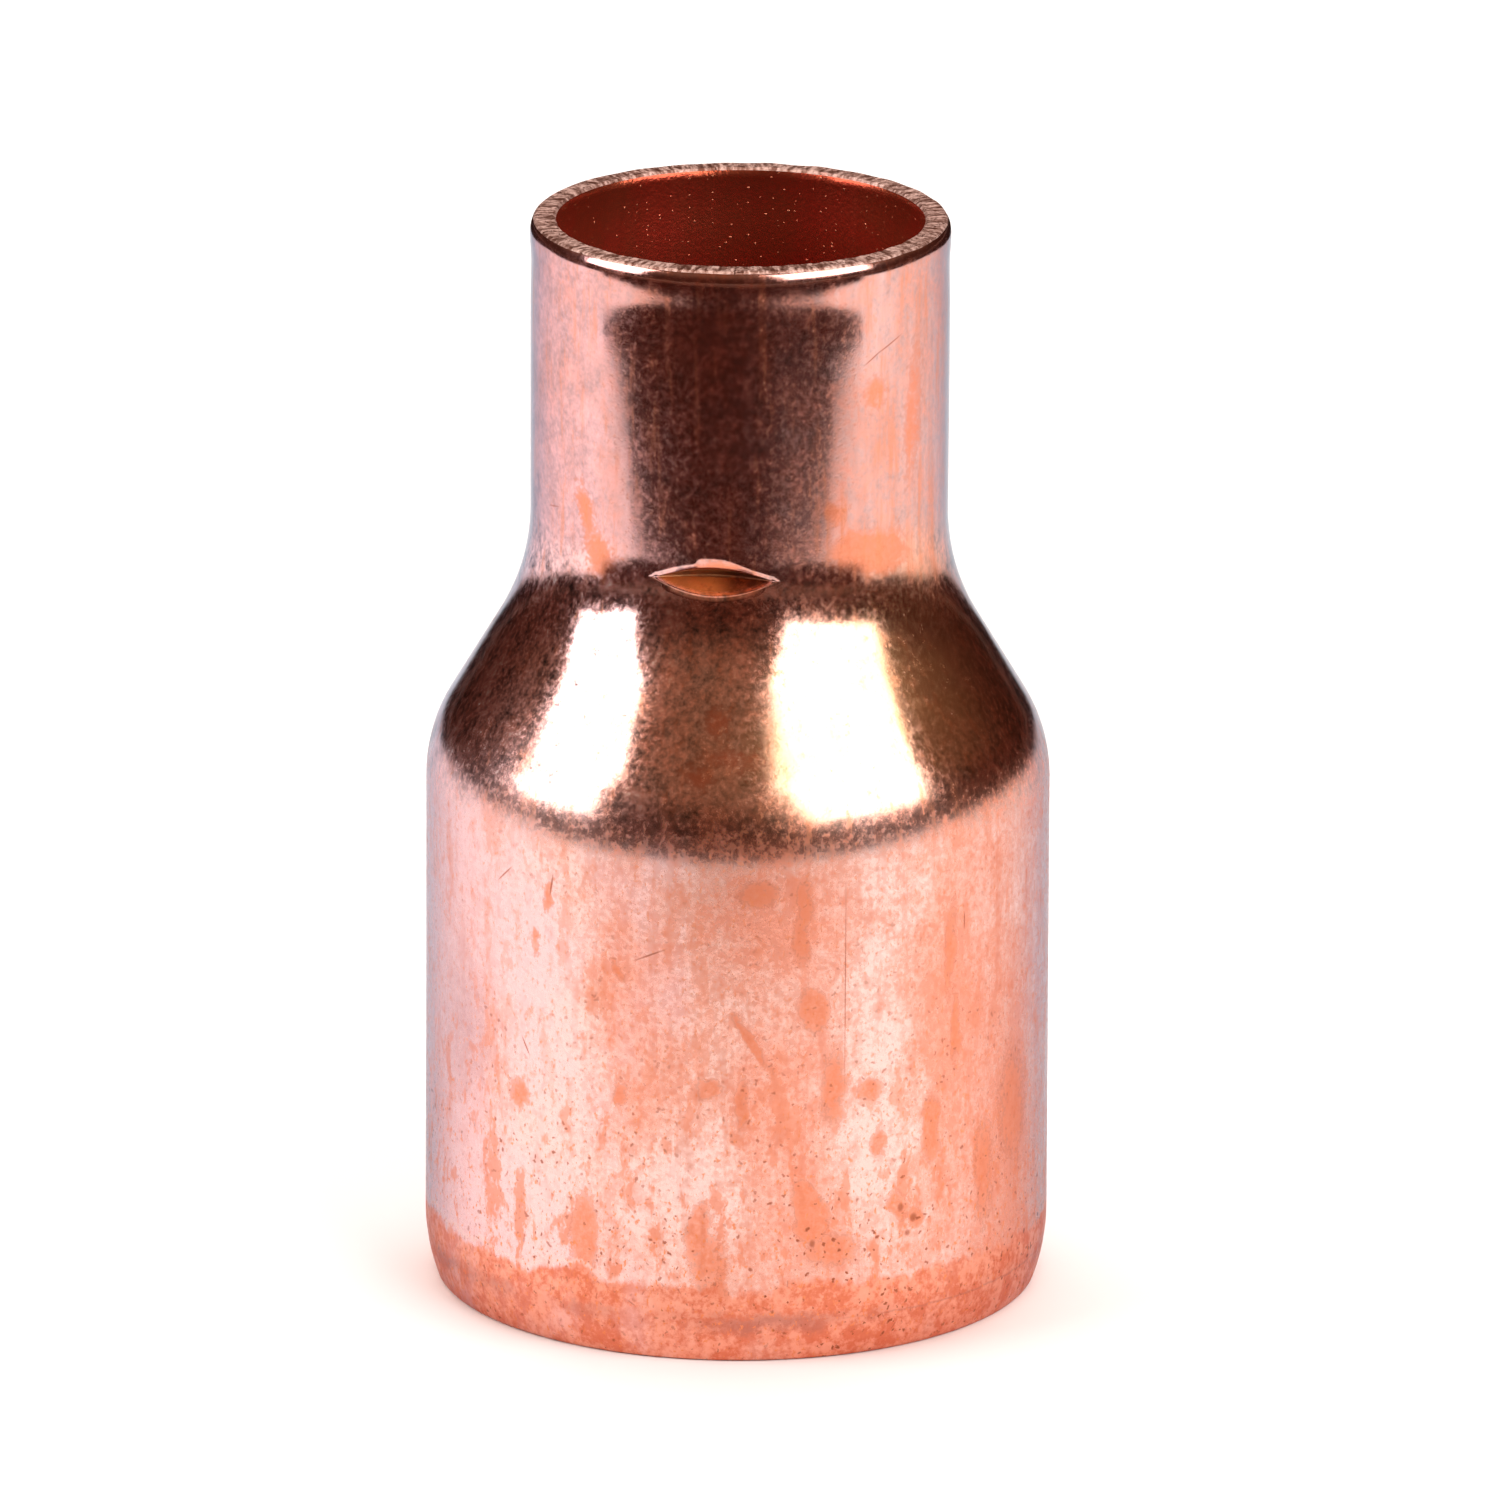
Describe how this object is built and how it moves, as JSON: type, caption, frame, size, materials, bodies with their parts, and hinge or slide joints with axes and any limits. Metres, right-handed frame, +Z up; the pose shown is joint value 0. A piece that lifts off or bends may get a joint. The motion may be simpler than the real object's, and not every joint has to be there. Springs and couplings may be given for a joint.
{
  "type": "concentric reducer",
  "caption": "Copper concentric pipe reducer with plain solder sockets, joining a large tube to a small one on the same axis.",
  "frame": {"origin": "centre of the large mouth's end face, on the tube axis, with the part standing on that face", "axes": "+Z up along the tube axis from the large mouth to the small one, -Y the front, +X to the right seen from the front"},
  "size_m": [0.0381, 0.038, 0.0668],
  "materials": {
    "copper": "as-formed copper: smooth and bright on the neck and cone, dull pickled pink on the large end, dark red oxide inside"
  },
  "bodies": {
    "root": {"reducer_body": "copper"}
  },
  "joints": []
}
